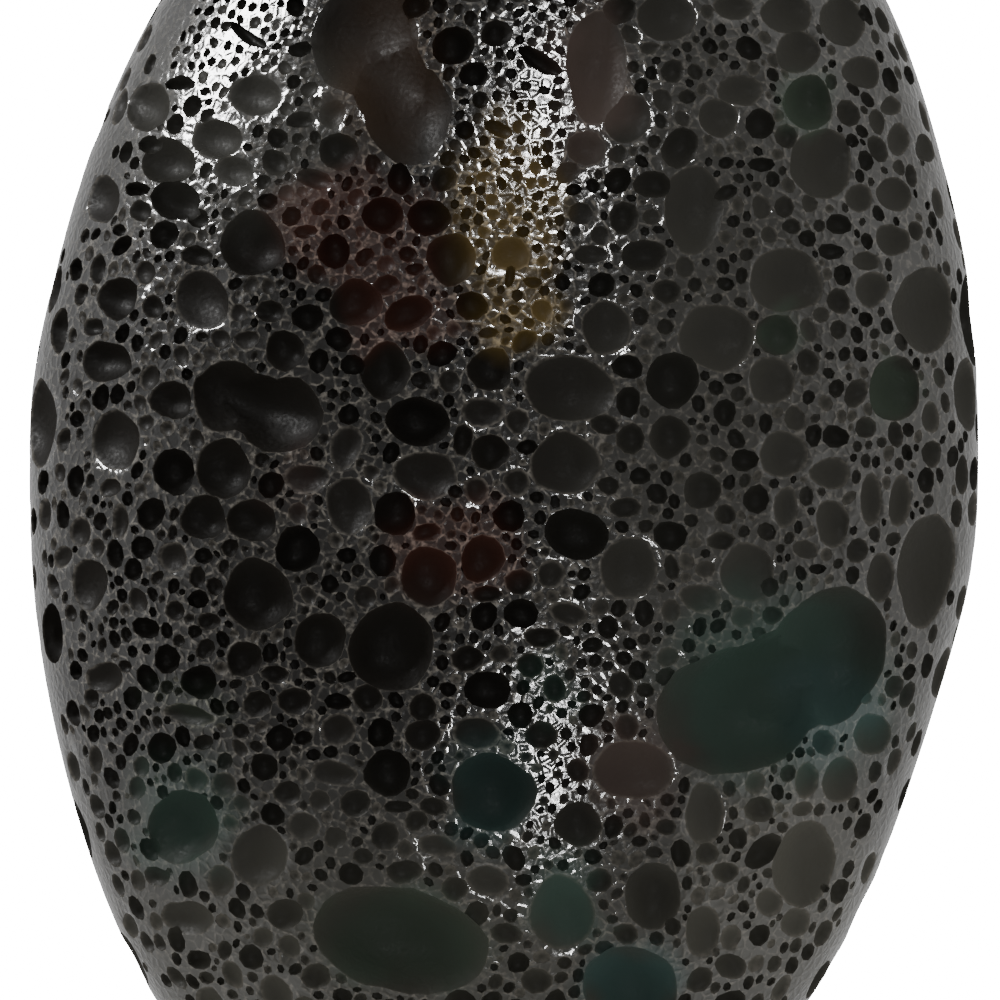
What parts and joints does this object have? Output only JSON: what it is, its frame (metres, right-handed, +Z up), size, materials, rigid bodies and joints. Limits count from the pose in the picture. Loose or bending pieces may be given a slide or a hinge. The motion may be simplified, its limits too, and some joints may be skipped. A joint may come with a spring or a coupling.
{
  "type": "lava rock",
  "caption": "Oval stone of dark glassy vesicular lava, ground smooth, its gas bubbles opened as pits all round.",
  "frame": {"origin": "on the plane of the ground flat that the stone rests on, under the middle of the stone", "axes": "+Y along the stone's long axis, towards the end that the picture shows at its top; +Z up, out of the broad face that the picture shows; +X to the right in the picture"},
  "size_m": [0.0622, 0.0951, 0.0369],
  "materials": {
    "lava": "dark glassy vesicular lava, ground to a dull sheen between its pits"
  },
  "bodies": {
    "root": {"lava_rock": "lava"}
  },
  "joints": []
}
